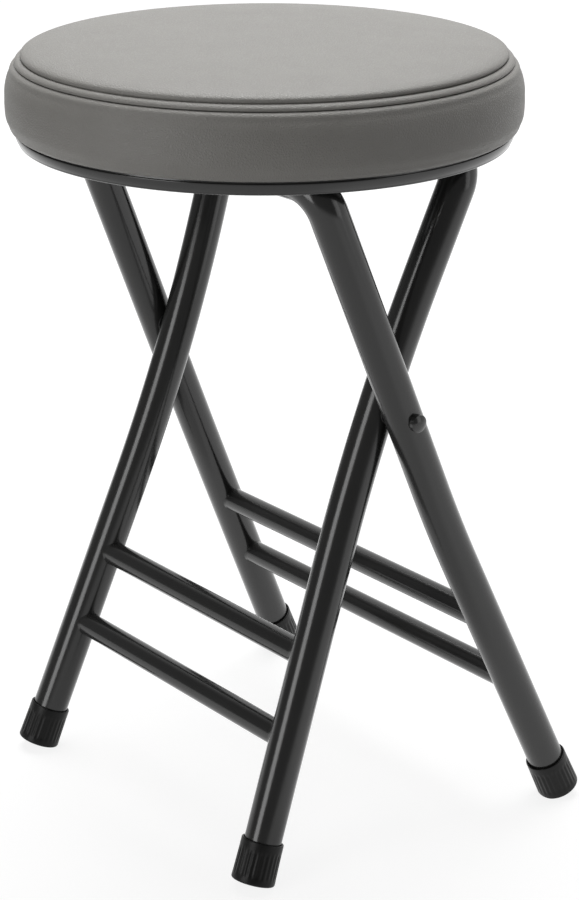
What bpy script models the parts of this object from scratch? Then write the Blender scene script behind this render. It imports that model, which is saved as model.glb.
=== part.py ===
"""Folding stool: a round padded seat on two crossing frames of bent steel tube.

The floor is Z = 0, the seat's axis is Z and the frames cross on a rivet axis along X.
The inner frame leans its top to +Y and the outer frame leans its top to -Y. The seat is
hinged on the outer frame's top bar and hooks over the inner frame's top bar.
"""
import math

import bmesh
import bpy
from mathutils import Matrix, Vector

# Driving dimensions, in metres and degrees
GAP = 0.0003                # clearance left between pieces that touch

PIVOT_Y = 0.0055            # rivet axis, from the seat's axis
PIVOT_Z = 0.267             # rivet axis, from the floor
BAR_Z = 0.4085              # axis of both top bars, from the floor

TUBE_D = 0.022              # frame tube, outside
TUBE_WALL = 0.0012
CORNER_R = 0.018            # bend of the tube into its top bar, at the centre line
KNEE_R = 1.0                # slow bend of each leg, at the centre line

INNER_TILT = 20.9           # lean of the frame's plane from upright
INNER_KNEE_DROP = 0.0086    # knee, measured down the frame from the rivet
INNER_KNEE_W = 0.1852       # between the legs' centre lines at the knee
INNER_LEAN = 5.8            # spread of the upper legs, going up
INNER_SPLAY = 4.5           # spread of the lower legs, going down
INNER_FLARE = 0.8           # lower legs bent out of the frame's plane

OUTER_TILT = 22.35
OUTER_KNEE_DROP = 0.079
OUTER_LEAN = -1.95
OUTER_SPLAY = 4.6
OUTER_FLARE = 1.95

RUNG_D = 0.015
RUNG_WALL = 0.001
UPPER_RUNG_DROP = 0.1495    # measured down the frame from the rivet
LOWER_RUNG_DROP = 0.1985

CAP_WALL = 0.0012           # rubber foot cap, pushed over the tube's end
CAP_L = 0.025
CAP_SOLE = 0.004
CAP_SPREAD = 0.0005         # growth of the cap's radius from its mouth to its sole
CAP_ROUND = 0.0012
SOLE_FLAT = 0.001           # depth of the flat worn where the cap meets the floor

RIVET_D = 0.006
RIVET_HEAD_D = 0.0104
RIVET_HEAD_H = 0.0036
RIVET_RIM_H = 0.0022        # straight side of the head, below its dome
RIVET_TAIL_D = 0.009
RIVET_TAIL_H = 0.0015
SPACER_D = 0.014
SPACER_T = 0.0006           # washer that keeps the two frames apart at the rivets

SEAT_D = 0.300              # cushion at its widest
CUSHION_H = 0.050           # lower lip to the top of the crown
CROWN_H = 0.006             # rise of the crown over its edge
LOW_INSET = 0.0027          # cushion's lower edge, in from its widest
LOW_ROUND = 0.0025          # rounding of that edge
RIDGE_INSET = 0.0048        # side band where it meets the piping, in from the widest
EDGE_INSET = 0.0124         # top panel where it meets the piping, in from the widest
RIDGE_DROP = 0.009          # side band's upper edge, below the top panel's edge
WELT_D = 0.0046             # piping cord in the seam
COVER_T = 0.001             # vinyl
HEM_W = 0.020               # vinyl turned in under the board
LIP_H = 0.0048              # cushion's lip, hanging down round the pan

BOARD_INSET = 0.005         # board's edge, in from the cushion's lower edge
BOARD_T = 0.006
PAN_INSET = 0.0031          # pan's edge, in from the cushion's lower edge
PAN_T = 0.0012
RIM_H = 0.01235             # rolled rim, from the pan's top face down
RIM_T = 0.0024
RIM_BULGE = 0.001           # swell of the rim below the cushion's lip
RIM_TAPER = 0.0016          # rim's lower edge, in from the pan's edge

STRAP_T = 0.0016            # steel strip of the hinge straps and the hooks
STRAP_W = 0.022
STRAP_X = 0.052             # strap's middle, from the seat's axis
FOOT_L = 0.014              # flat foot of a strap or hook
HOOK_W = 0.030
HOOK_X = 0.052
HOOK_WRAP = 10.0            # turn of the hook under the bar
HOOK_SCREW_PITCH = 0.018

SCREW_D = 0.004
SCREW_HEAD_D = 0.008
SCREW_HEAD_H = 0.0024
SCREW_BITE = 0.0045         # length of the screw inside the board

# Facets: sides of round pieces and the turn between rings along a bend
TUBE_SIDES = 16
RUNG_SIDES = 12
SCREW_SIDES = 10
SEAT_SIDES = 36
KNEE_STEP = 2.5
CORNER_STEP = 16.0

tube_r = TUBE_D / 2
rung_r = RUNG_D / 2
cap_r = tube_r + GAP + CAP_WALL
sole_r = cap_r + CAP_SPREAD
low_r = SEAT_D / 2 - LOW_INSET
board_r = low_r - BOARD_INSET
pan_r = low_r - PAN_INSET
edge_r = SEAT_D / 2 - EDGE_INSET
pan_z = BAR_Z + tube_r + GAP            # underside of the seat pan, resting on the bars
hem_z = PAN_T + GAP                     # heights from here are above the pan's underside
lip_z = hem_z - LIP_H
board_z = hem_z + COVER_T + GAP
foam_z = board_z + BOARD_T + GAP


def start_scene():
    """Empty the scene and make the two collections."""
    for old in list(bpy.data.objects):
        bpy.data.objects.remove(old)
    made = []
    for name in ("folding_stool", "cutters"):
        made.append(bpy.data.collections.new(name))
        bpy.context.scene.collection.children.link(made[-1])
    return made


PARTS, CUTTERS = start_scene()


def paint(name, colour, roughness, metallic=0.0):
    """A Principled material of one colour."""
    material = bpy.data.materials.new(name)
    material.use_nodes = True
    shader = material.node_tree.nodes["Principled BSDF"]
    shader.inputs["Base Color"].default_value = (*colour, 1.0)
    shader.inputs["Roughness"].default_value = roughness
    shader.inputs["Metallic"].default_value = metallic
    return material


BLACK_PAINT = paint("black_painted_steel", (0.028, 0.028, 0.028), 0.35)
RUBBER = paint("black_rubber", (0.014, 0.014, 0.014), 0.7)
VINYL = paint("grey_vinyl", (0.19, 0.185, 0.175), 0.5)
PIPING = paint("grey_piping", (0.19, 0.185, 0.175), 0.5)
FOAM = paint("cream_foam", (0.75, 0.7, 0.5), 0.9)
PLYWOOD = paint("plywood", (0.5, 0.34, 0.19), 0.7)
ZINC = paint("zinc_plated_steel", (0.55, 0.55, 0.56), 0.35, 1.0)
NYLON = paint("black_nylon", (0.02, 0.02, 0.02), 0.5)


def add_empty(name, parent=None, location=(0, 0, 0), turn_x=0.0):
    """An empty that carries a moving body, placed on its joint's axis."""
    empty = bpy.data.objects.new(name, None)
    empty.empty_display_size = 0.03
    empty.parent = parent
    empty.location = location
    empty.rotation_euler.x = math.radians(turn_x)
    PARTS.objects.link(empty)
    return empty


def add_object(name, data, material, parent=None, place=Matrix()):
    """Put a mesh or curve in the scene as a sub-part, or as a cutter without a material."""
    thing = bpy.data.objects.new(name, data)
    thing.parent = parent
    thing.matrix_basis = place
    if material:
        data.materials.append(material)
        PARTS.objects.link(thing)
    else:
        thing.hide_render = True
        thing.display_type = 'WIRE'
        CUTTERS.objects.link(thing)
    return thing


def smooth(mesh):
    mesh.shade_smooth()
    mesh.set_sharp_from_angle(angle=math.radians(40))


def turned(name, profile, sides, material, parent=None, place=Matrix(), closed=False):
    """Turn a profile of (radius, height) points, outer side running down, about Z."""
    mesh = bpy.data.meshes.new(name)
    edges = [(i, i + 1) for i in range(len(profile) - 1)]
    if closed:
        edges.append((len(profile) - 1, 0))
    mesh.from_pydata([(r, 0, z) for r, z in profile], edges, [])
    piece = add_object(name, mesh, material, parent, place)
    screw = piece.modifiers.new("turn", 'SCREW')
    screw.steps = screw.render_steps = sides
    screw.use_merge_vertices = True
    screw.merge_threshold = 0.00001
    screw.use_smooth_shade = True
    return piece


def as_mesh(curve_object):
    """Replace a curve by its welded mesh, in the same place."""
    bpy.context.view_layer.update()
    graph = bpy.context.evaluated_depsgraph_get()
    mesh = bpy.data.meshes.new_from_object(curve_object.evaluated_get(graph))
    shape = bmesh.new()
    shape.from_mesh(mesh)
    bmesh.ops.remove_doubles(shape, verts=shape.verts, dist=0.000001)
    shape.to_mesh(mesh)
    shape.free()
    bpy.data.objects.remove(curve_object)
    return mesh


def tube_mesh(path, radius, sides, capped):
    """A round bar along a path, open at its ends when it is to get a wall."""
    curve = bpy.data.curves.new("path", 'CURVE')
    curve.dimensions = '3D'
    curve.bevel_depth = radius
    curve.bevel_resolution = sides // 2 - 2
    curve.use_fill_caps = capped
    spline = curve.splines.new('POLY')
    spline.points.add(len(path) - 1)
    for point, where in zip(spline.points, path):
        point.co = (*where, 1.0)
    guide = bpy.data.objects.new("path", curve)
    CUTTERS.objects.link(guide)
    mesh = as_mesh(guide)
    smooth(mesh)
    return mesh


def hollow(piece, wall):
    """Give an open tube its wall, inwards."""
    shell = piece.modifiers.new("wall", 'SOLIDIFY')
    shell.thickness = wall
    shell.offset = -1.0
    shell.use_even_offset = True


def cut(piece, cutter):
    boolean = piece.modifiers.new("cut", 'BOOLEAN')
    boolean.operation = 'DIFFERENCE'
    boolean.solver = 'EXACT'
    boolean.object = cutter


def round_cutter(name, radius, length, sides, parent, place):
    """A solid cylinder on Z, centred, used to cut a hole."""
    half = length / 2
    profile = [(0, half), (radius, half), (radius, -half), (0, -half)]
    return turned(name, profile, sides, None, parent, place)


def arc(centre, radius, start, end, count):
    """Points on an arc in a profile's plane, from one angle to another in degrees."""
    points = []
    for i in range(count + 1):
        angle = math.radians(start + (end - start) * i / count)
        points.append((centre[0] + radius * math.cos(angle), centre[1] + radius * math.sin(angle)))
    return points


def rounded_path(corners, bends):
    """A polyline whose inner corners are arcs of the given (radius, step in degrees)."""
    path = [corners[0]]
    for before, corner, after, (radius, step) in zip(corners, corners[1:], corners[2:], bends):
        back = (before - corner).normalized()
        ahead = (after - corner).normalized()
        turn = math.pi - back.angle(ahead)
        middle = (back + ahead).normalized()
        centre = corner + middle * (radius / math.cos(turn / 2))
        first = corner + back * (radius * math.tan(turn / 2)) - centre
        axis = back.cross(first).normalized()
        count = max(2, math.ceil(math.degrees(turn) / step))
        for i in range(count + 1):
            path.append(centre + Matrix.Rotation(turn * i / count, 3, axis) @ first)
    path.append(corners[-1])
    return path


ALONG_X = Matrix.Rotation(math.pi / 2, 4, 'Y')  # lays a turned piece's axis along +X


class Frame:
    """One bent tube with its rungs and foot caps, in a plane that leans about the rivet.

    Local X is across the stool, local Z runs up the frame, and the lower legs flare
    to the side that the feet stand on (facing is -1 for -Y and +1 for +Y).
    """

    def __init__(self, name, facing, tilt, knee_drop, knee_x, lean, splay, flare):
        self.name = name
        turn = facing * tilt
        self.carrier = add_empty(name + "_axis", None, (0, PIVOT_Y, PIVOT_Z), turn)
        self.turn = Matrix.Rotation(math.radians(turn), 3, 'X')
        self.bar_rise = (BAR_Z - PIVOT_Z) / math.cos(math.radians(tilt))
        self.bar_y = PIVOT_Y - facing * self.bar_rise * math.sin(math.radians(tilt))
        self.knee = Vector((knee_x, 0, -knee_drop))
        self.down = Vector((math.tan(math.radians(splay)),
                            facing * math.tan(math.radians(flare)), -1)).normalized()
        corner_x = knee_x + math.tan(math.radians(lean)) * (knee_drop + self.bar_rise)
        self.corner = Vector((corner_x, 0, self.bar_rise))
        self.sole = self.knee + self.down * self.sole_distance()
        tube_end = self.sole - self.down * (CAP_SOLE + GAP)
        bends = [(KNEE_R, KNEE_STEP), (CORNER_R, CORNER_STEP)]
        right = [tube_end, self.knee, self.corner]
        left = [self.across(point) for point in reversed(right)]
        self.path = rounded_path(right + left, bends + bends[::-1])
        self.cutter = add_object(name + "_cutter", tube_mesh(self.path, tube_r + GAP, TUBE_SIDES, True),
                                 None, self.carrier)

    @staticmethod
    def across(point):
        """The same point on the other leg."""
        return Vector((-point.x, point.y, point.z))

    def sole_distance(self):
        """From the knee down the lower leg to the middle of the foot cap's sole."""
        heading = self.turn @ self.down
        lean = math.sqrt(1 - heading.z ** 2)
        lowest = (sole_r - CAP_ROUND) * lean + CAP_ROUND * (1 + heading.z)
        sole_height = lowest - SOLE_FLAT
        knee_height = PIVOT_Z + (self.turn @ self.knee).z
        return (knee_height - sole_height) / -heading.z

    def leg_at(self, drop):
        """Centre of the right leg at a distance below the rivet, measured down the frame."""
        for low, high in zip(self.path, self.path[1:]):
            if low.z <= -drop <= high.z:
                return low.lerp(high, (-drop - low.z) / (high.z - low.z))

    def build(self, hole_from):
        self.tube(hole_from)
        for name, drop in (("upper", UPPER_RUNG_DROP), ("lower", LOWER_RUNG_DROP)):
            self.rung(name, drop)
        self.foot_cap("right", self.sole, self.down)
        self.foot_cap("left", self.across(self.sole), self.across(self.down))

    def tube(self, hole_from):
        """The bent tube, each leg drilled for its rivet from a distance off its axis outwards."""
        mesh = tube_mesh(self.path, tube_r, TUBE_SIDES, False)
        frame = add_object(self.name + "_frame", mesh, BLACK_PAINT, self.carrier)
        hollow(frame, TUBE_WALL)
        length = 2 * TUBE_D
        middle = self.leg_at(0).x + hole_from + length / 2
        for side, sign in (("right", 1), ("left", -1)):
            place = Matrix.Translation((sign * middle, 0, 0)) @ ALONG_X
            drill = round_cutter(f"{self.name}_{side}_drill", RIVET_D / 2 + GAP, length, RUNG_SIDES,
                                 self.carrier, place)
            cut(frame, drill)

    def rung(self, name, drop):
        """A cross tube between the legs, its ends shaped to their round sides."""
        end = self.leg_at(drop)
        mesh = tube_mesh([self.across(end), end], rung_r, RUNG_SIDES, False)
        rung = add_object(f"{self.name}_{name}_rung", mesh, BLACK_PAINT, self.carrier)
        hollow(rung, RUNG_WALL)
        cut(rung, self.cutter)

    def foot_cap(self, side, sole, down):
        """A rubber cup over the tube's end, flat where it stands on the floor."""
        bore_r = tube_r + GAP
        profile = [(0, CAP_SOLE), (bore_r, CAP_SOLE), (bore_r, CAP_L), (cap_r, CAP_L)]
        profile += arc((sole_r - CAP_ROUND, CAP_ROUND), CAP_ROUND, 0, -90, 4) + [(0, 0)]
        place = Matrix.Translation(sole) @ down.to_track_quat('-Z', 'Y').to_matrix().to_4x4()
        cap = turned(f"{self.name}_{side}_foot_cap", profile, TUBE_SIDES, RUBBER, self.carrier, place)
        cut(cap, FLOOR)


def build_floor_cutter():
    """A block whose top face is the floor."""
    shape = bmesh.new()
    size = 2 * SEAT_D
    bmesh.ops.create_cube(shape, size=size)
    bmesh.ops.translate(shape, verts=shape.verts, vec=(0, 0, -size / 2))
    mesh = bpy.data.meshes.new("floor_cutter")
    shape.to_mesh(mesh)
    shape.free()
    return add_object("floor_cutter", mesh, None)


FLOOR = build_floor_cutter()


def build_rivets(inner, outer):
    """A domed rivet, set inside the inner tube, and a spacer washer at each crossing."""
    bore_r = tube_r * math.cos(math.pi / TUBE_SIDES) - TUBE_WALL
    outside = outer.leg_at(0).x + tube_r + GAP
    washer_from = inner.leg_at(0).x + tube_r + GAP
    washer_to = outer.leg_at(0).x - tube_r - GAP
    shank_r = RIVET_D / 2
    head_r = RIVET_HEAD_D / 2
    tail_r = RIVET_TAIL_D / 2
    inside = inner.leg_at(0).x + math.sqrt(bore_r ** 2 - tail_r ** 2) - GAP
    tail_end = inside - RIVET_TAIL_H
    dome_h = RIVET_HEAD_H - RIVET_RIM_H
    dome_r = (head_r ** 2 + dome_h ** 2) / (2 * dome_h)
    half_angle = math.degrees(math.asin(head_r / dome_r))
    dome = arc((0, outside + RIVET_HEAD_H - dome_r), dome_r, 90, 90 - half_angle, 4)
    dome[0] = (0, outside + RIVET_HEAD_H)
    shank = [(head_r, outside), (shank_r, outside), (shank_r, inside)]
    tail = [(tail_r, inside), (tail_r, tail_end), (0, tail_end)]
    hole_r = shank_r + GAP
    ring_r = SPACER_D / 2
    ring = [(hole_r, washer_to), (ring_r, washer_to), (ring_r, washer_from), (hole_r, washer_from)]
    for side, spin in (("right", 0.0), ("left", math.pi)):
        place = Matrix.Translation((0, PIVOT_Y, PIVOT_Z)) @ Matrix.Rotation(spin, 4, 'Z') @ ALONG_X
        turned(f"{side}_pivot_rivet", dome + shank + tail, TUBE_SIDES, BLACK_PAINT, None, place)
        turned(f"{side}_pivot_spacer", ring, TUBE_SIDES, NYLON, None, place, closed=True)


def crown(radius, drop=0.0):
    """Height of the top panel at a radius: a shallow bowl upside down."""
    return lip_z + CUSHION_H - CROWN_H * (radius / edge_r) ** 2 - drop


def cushion_edge():
    """The piping's seat: its centre, the slope of the shoulder and the shoulder's two ends."""
    edge = Vector((edge_r, crown(edge_r)))
    ridge = Vector((SEAT_D / 2 - RIDGE_INSET, edge.y - RIDGE_DROP))
    return (ridge + edge) / 2, (edge - ridge).normalized(), ridge, edge


def build_cushion(seat):
    """Vinyl cover with its piping and the foam inside it."""
    welt, slope, ridge, edge = cushion_edge()
    welt_r = WELT_D / 2
    slope_angle = math.degrees(math.atan2(slope.y, slope.x))
    low_z = lip_z + LOW_ROUND
    bulge = SEAT_D / 2 - (low_r + ridge.x) / 2
    wall_r = board_r + GAP
    lip_r = pan_r + GAP

    outside = [(edge.x * i / 6, crown(edge.x * i / 6)) for i in range(7)]
    outside += arc(welt, welt_r + GAP, slope_angle, slope_angle + 180, 4)
    for i in range(6):
        share = i / 6
        side_r = ridge.x + (low_r - ridge.x) * share + bulge * 4 * share * (1 - share)
        outside.append((side_r, ridge.y + (low_z - ridge.y) * share))
    outside += arc((low_r - LOW_ROUND, low_z), LOW_ROUND, 0, -90, 3)
    outside += [(lip_r, lip_z), (lip_r, hem_z), (wall_r - HEM_W, hem_z)]

    sink = Vector((-slope.y, slope.x)) * (welt_r + GAP + COVER_T)
    shoulder = edge + sink
    wall_top = (ridge + sink).y
    drop = crown(shoulder.x) - shoulder.y
    hem_top = hem_z + COVER_T
    inside = [(wall_r - HEM_W, hem_top), (wall_r, hem_top), (wall_r, wall_top)]
    inside += [(shoulder.x * i / 3, crown(shoulder.x * i / 3, drop)) for i in (3, 2, 1, 0)]
    turned("seat_cover", outside + inside, SEAT_SIDES, VINYL, seat)

    foam_top = [(max(r - GAP, 0), z - GAP) for r, z in reversed(inside[2:])]
    foam = foam_top + [(wall_r - GAP, foam_z), (0, foam_z)]
    turned("foam_pad", foam, SEAT_SIDES, FOAM, seat)

    cord = arc(welt, welt_r, 90, -225, 7)
    turned("seat_piping", cord, SEAT_SIDES, PIPING, seat, closed=True)


def build_base(seat, screw_places):
    """Plywood board and the steel pan with its rolled rim, drilled for the screws."""
    board_top = board_z + BOARD_T
    disc = [(0, board_top), (board_r, board_top), (board_r, board_z), (0, board_z)]
    board = turned("seat_board", disc, SEAT_SIDES, PLYWOOD, seat)
    inner_r = pan_r - RIM_T
    bead_r = RIM_T / 2
    bead_z = PAN_T - RIM_H + bead_r
    profile = [(0, PAN_T)] + arc((pan_r - PAN_T, 0), PAN_T, 90, 0, 3)
    roll_z = lip_z - GAP
    for share in (0, 0.25, 0.5, 0.75):
        swell = RIM_BULGE * 4 * share * (1 - share) - RIM_TAPER * share
        profile.append((pan_r + swell, roll_z + (bead_z - roll_z) * share))
    profile += arc((pan_r - RIM_TAPER - bead_r, bead_z), bead_r, 0, -180, 4)
    profile += [(inner_r, -PAN_T), (inner_r - PAN_T, 0), (0, 0)]
    pan = turned("seat_pan", profile, SEAT_SIDES, BLACK_PAINT, seat)
    hole_top = board_z + SCREW_BITE + GAP
    for number, (x, y) in enumerate(screw_places, 1):
        drill = round_cutter(f"screw_drill_{number}", SCREW_D / 2 + GAP, 2 * hole_top, SCREW_SIDES,
                             seat, Matrix.Translation((x, y, 0)))
        cut(pan, drill)
        cut(board, drill)


def strip(name, outline, width, x, y, screws, seat):
    """A bent strip: an outline in the YZ plane, as wide as it runs along X, with screw holes."""
    curve = bpy.data.curves.new(name, 'CURVE')
    curve.dimensions = '2D'
    curve.fill_mode = 'BOTH'
    curve.extrude = width / 2
    spline = curve.splines.new('POLY')
    spline.points.add(len(outline) - 1)
    for point, (across, up) in zip(spline.points, outline):
        point.co = (across, up, 0, 1)
    spline.use_cyclic_u = True
    guide = bpy.data.objects.new(name, curve)
    CUTTERS.objects.link(guide)
    stand = Matrix(((0, 0, 1, 0), (1, 0, 0, 0), (0, 1, 0, 0), (0, 0, 0, 1)))
    place = Matrix.Translation((x, y, BAR_Z - pan_z)) @ stand
    piece = add_object(name, as_mesh(guide), ZINC, seat, place)
    for number, (screw_x, screw_y) in enumerate(screws, 1):
        drill = round_cutter(f"{name}_drill_{number}", SCREW_D / 2 + GAP, 4 * STRAP_T, SCREW_SIDES,
                             seat, Matrix.Translation((screw_x, screw_y, -GAP - STRAP_T / 2)))
        cut(piece, drill)


def build_brackets(seat, hinge_y, catch_y):
    """Two straps that hinge the seat on one bar, two hooks that catch the other, and screws."""
    clasp_r = tube_r + GAP
    back_r = clasp_r + STRAP_T
    foot_top = tube_r
    foot_low = foot_top - STRAP_T
    foot_end = back_r + FOOT_L
    foot = [(back_r, foot_low), (foot_end, foot_low), (foot_end, foot_top), (clasp_r, foot_top)]
    far_foot = [(-y, z) for y, z in reversed(foot)]
    strap = arc((0, 0), back_r, -180, 0, 10) + foot + arc((0, 0), clasp_r, 0, -180, 10) + far_foot
    hook = arc((0, 0), back_r, -HOOK_WRAP, 0, 2) + foot + arc((0, 0), clasp_r, 0, -HOOK_WRAP, 2)

    reach = back_r + FOOT_L / 2
    screws = []
    for side, sign in (("right", 1), ("left", -1)):
        holes = [(sign * STRAP_X, hinge_y - reach), (sign * STRAP_X, hinge_y + reach)]
        strip(f"{side}_hinge_strap", strap, STRAP_W, sign * STRAP_X, hinge_y, holes, seat)
        screws += [(f"{side}_{name}_strap_screw", hole) for name, hole in zip(("front", "rear"), holes)]
        middle = sign * HOOK_X
        half = sign * HOOK_SCREW_PITCH / 2
        holes = [(middle - half, catch_y + reach), (middle + half, catch_y + reach)]
        strip(f"{side}_catch_hook", hook, HOOK_W, middle, catch_y, holes, seat)
        screws += [(f"{side}_{name}_hook_screw", hole) for name, hole in zip(("inner", "outer"), holes)]

    head_z = -2 * GAP - STRAP_T
    tip_z = board_z + SCREW_BITE
    shank_r = SCREW_D / 2
    head_r = SCREW_HEAD_D / 2
    dome_r = (head_r ** 2 + SCREW_HEAD_H ** 2) / (2 * SCREW_HEAD_H)
    half_angle = math.degrees(math.asin(head_r / dome_r))
    dome = arc((0, head_z - SCREW_HEAD_H + dome_r), dome_r, half_angle - 90, -90, 3)
    dome[-1] = (0, head_z - SCREW_HEAD_H)
    profile = [(0, tip_z), (shank_r, tip_z - shank_r), (shank_r, head_z)] + dome
    for name, (x, y) in screws:
        turned(name, profile, SCREW_SIDES, ZINC, seat, Matrix.Translation((x, y, 0)))
    return [hole for name, hole in screws]


def build_seat(hinge_y, catch_y):
    """The seat and its fittings, carried by an empty on the hinge bar's axis."""
    hinge = add_empty("seat_hinge_axis", None, (0, hinge_y, BAR_Z))
    seat = add_empty("seat_underside", hinge, (0, -hinge_y, pan_z - BAR_Z))
    screw_places = build_brackets(seat, hinge_y, catch_y)
    build_base(seat, screw_places)
    build_cushion(seat)


inner_frame = Frame("inner", -1, INNER_TILT, INNER_KNEE_DROP, INNER_KNEE_W / 2, INNER_LEAN,
                    INNER_SPLAY, INNER_FLARE)
outer_pivot_x = inner_frame.leg_at(0).x + TUBE_D + SPACER_T + 2 * GAP
outer_knee_x = outer_pivot_x - math.tan(math.radians(OUTER_LEAN)) * OUTER_KNEE_DROP
outer_frame = Frame("outer", 1, OUTER_TILT, OUTER_KNEE_DROP, outer_knee_x, OUTER_LEAN,
                    OUTER_SPLAY, OUTER_FLARE)
inner_frame.build(hole_from=0.0)
outer_frame.build(hole_from=-TUBE_D)
build_rivets(inner_frame, outer_frame)
build_seat(outer_frame.bar_y, inner_frame.bar_y)
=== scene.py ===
"""Folding stool: its looks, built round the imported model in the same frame, in metres.

The floor is Z = 0, the seat's axis is Z and the pivot rivets lie along X. The inner frame's
feet stand towards -Y and the outer frame's feet towards +Y.
"""
import math

import bpy
import numpy as np
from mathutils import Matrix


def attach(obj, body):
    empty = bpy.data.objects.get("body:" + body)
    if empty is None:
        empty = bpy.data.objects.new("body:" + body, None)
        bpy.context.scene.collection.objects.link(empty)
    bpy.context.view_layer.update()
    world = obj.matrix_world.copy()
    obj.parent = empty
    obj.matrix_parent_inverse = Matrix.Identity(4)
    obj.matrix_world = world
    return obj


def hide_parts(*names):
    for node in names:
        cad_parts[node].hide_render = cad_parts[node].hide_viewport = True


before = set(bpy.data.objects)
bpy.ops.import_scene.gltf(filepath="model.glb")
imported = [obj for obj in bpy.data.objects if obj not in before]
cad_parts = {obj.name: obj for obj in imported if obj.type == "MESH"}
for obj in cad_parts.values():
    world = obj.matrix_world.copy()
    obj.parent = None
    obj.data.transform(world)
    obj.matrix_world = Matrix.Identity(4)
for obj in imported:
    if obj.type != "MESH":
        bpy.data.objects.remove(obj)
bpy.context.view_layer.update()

# Camera
# A long lens looks down on the stool from its front right corner, as in the photograph.
# The picture is 579 by 900 pixels, so the 36 mm sensor lies along its height.
CAMERA_PLACE = (1.0959, -0.8464, 0.7256)
CAMERA_HEADING = 0.9029         # turn about Z, in radians
CAMERA_PITCH = 0.3539           # tilt below the horizon, in radians
SENSOR, FOCAL_LENGTH = 36.0, 97.2   # in millimetres
lens = bpy.data.cameras.new("camera")
lens.sensor_width = SENSOR
lens.lens = FOCAL_LENGTH
camera = bpy.data.objects.new("camera", lens)
camera.location = CAMERA_PLACE
camera.rotation_euler = (math.pi / 2 - CAMERA_PITCH, 0.0, CAMERA_HEADING)
bpy.context.scene.collection.objects.link(camera)
bpy.context.scene.camera = camera

# Bent tube frames
# Each frame is one length of round steel tube, bent to a tall U with a slow knee in each leg
# and painted with black baking enamel. The outer frame stands outside the inner one.
PIVOT = np.array([0.0, 0.0055, 0.267])  # middle of the rivets' axis
BAR_Z = 0.4085                          # axis of both top bars
TUBE_R = 0.011
CORNER_R, KNEE_R = 0.018, 1.0           # bends at the centre line
CORNER_RINGS, KNEE_RINGS, TUBE_SIDES = 30, 24, 72
CLEARANCE = 0.0003                      # between pieces that touch
CAP_SOLE, SOLE_R, SOLE_ROUND, SOLE_FLAT = 0.004, 0.013, 0.0012, 0.001
FRAMES = {  # way the feet face, tilt, knee below the rivet, knee to the middle, lean, splay, flare
    "inner": (-1, 20.9, 0.0086, 0.0926, 5.8, 4.5, 0.8),
    "outer": (1, 22.35, 0.079, 0.12281, -1.95, 4.6, 1.95),
}


def linear(code):
    """sRGB hex to linear RGBA: c / 12.92 up to 0.04045, above it ((c + 0.055) / 1.055) ** 2.4."""
    c = np.array([int(code[i:i + 2], 16) for i in (1, 3, 5)]) / 255
    c = np.where(c <= 0.04045, c / 12.92, ((c + 0.055) / 1.055) ** 2.4)
    return (*c.tolist(), 1.0)


def add_node(tree, kind, inputs, **settings):
    """Add a node with its settings; an input takes a value or another node's socket."""
    node = tree.nodes.new(kind)
    for key, value in settings.items():
        setattr(node, key, value)
    for key, value in inputs.items():
        if isinstance(value, bpy.types.NodeSocket):
            tree.links.new(value, node.inputs[key])
        else:
            node.inputs[key].default_value = value
    return node


def new_finish(name, roughness, metallic=0.0, ior=1.5):
    """A material with its node tree, its shader and the piece's own Object coordinates."""
    finish = bpy.data.materials.new(name)
    finish.use_nodes = True
    tree = finish.node_tree
    shader = tree.nodes["Principled BSDF"]
    shader.inputs["Roughness"].default_value = roughness
    shader.inputs["Metallic"].default_value = metallic
    shader.inputs["IOR"].default_value = ior
    return finish, tree, shader, add_node(tree, "ShaderNodeTexCoord", {}).outputs["Object"]


def unit(vectors):
    """Vectors divided by their lengths."""
    return vectors / np.linalg.norm(vectors, axis=-1, keepdims=True)


def bent_path(corners, radii, counts):
    """Straight runs joined by arcs: centre + start cos(t) + (axis x start) sin(t).

    Each arc's centre lies on its corner's bisector, radius / cos(turn / 2) from the corner,
    and t runs from 0 to the turn between the two runs.
    """
    corners = np.array(corners, float)
    runs = [corners[:1]]
    neighbours = zip(corners, corners[1:], corners[2:], radii, counts)
    for before, corner, after, radius, count in neighbours:
        back, ahead = unit(before - corner), unit(after - corner)
        turn = math.pi - math.acos(back @ ahead)
        centre = corner + unit(back + ahead) * radius / math.cos(turn / 2)
        start = corner + back * radius * math.tan(turn / 2) - centre
        side = np.cross(unit(np.cross(back, start)), start)
        t = np.linspace(0, turn, count)[:, None]
        runs.append(centre + start * np.cos(t) + side * np.sin(t))
    return np.vstack(runs + [corners[-1:]])


def ring(radius, sides):
    """Points (radius cos a, radius sin a) once round."""
    a = np.linspace(0, 2 * math.pi, sides, endpoint=False)
    return radius * np.stack([np.cos(a), np.sin(a)], -1)


def carried(section, path, across):
    """A section carried along a path: path + u first + v second for each of its (u, v).

    first is the direction across, with its part along the path taken out, and second is
    tangent x first.
    """
    tangent = unit(np.gradient(path, axis=0))
    first = unit(across - (tangent @ across)[:, None] * tangent)
    second = np.cross(tangent, first)
    return path[:, None] + section[:, :1] * first[:, None] + section[:, 1:] * second[:, None]


def put_mesh(name, points, faces, finish, sharp=40.0):
    """A mesh object at the origin, smooth except at edges sharper than the angle in degrees."""
    mesh = bpy.data.meshes.new(name)
    mesh.from_pydata(points.reshape(-1, 3).tolist(), [], faces)
    mesh.shade_smooth()
    mesh.set_sharp_from_angle(angle=math.radians(sharp))
    mesh.materials.append(finish)
    piece = bpy.data.objects.new(name, mesh)
    bpy.context.scene.collection.objects.link(piece)
    return piece


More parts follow.
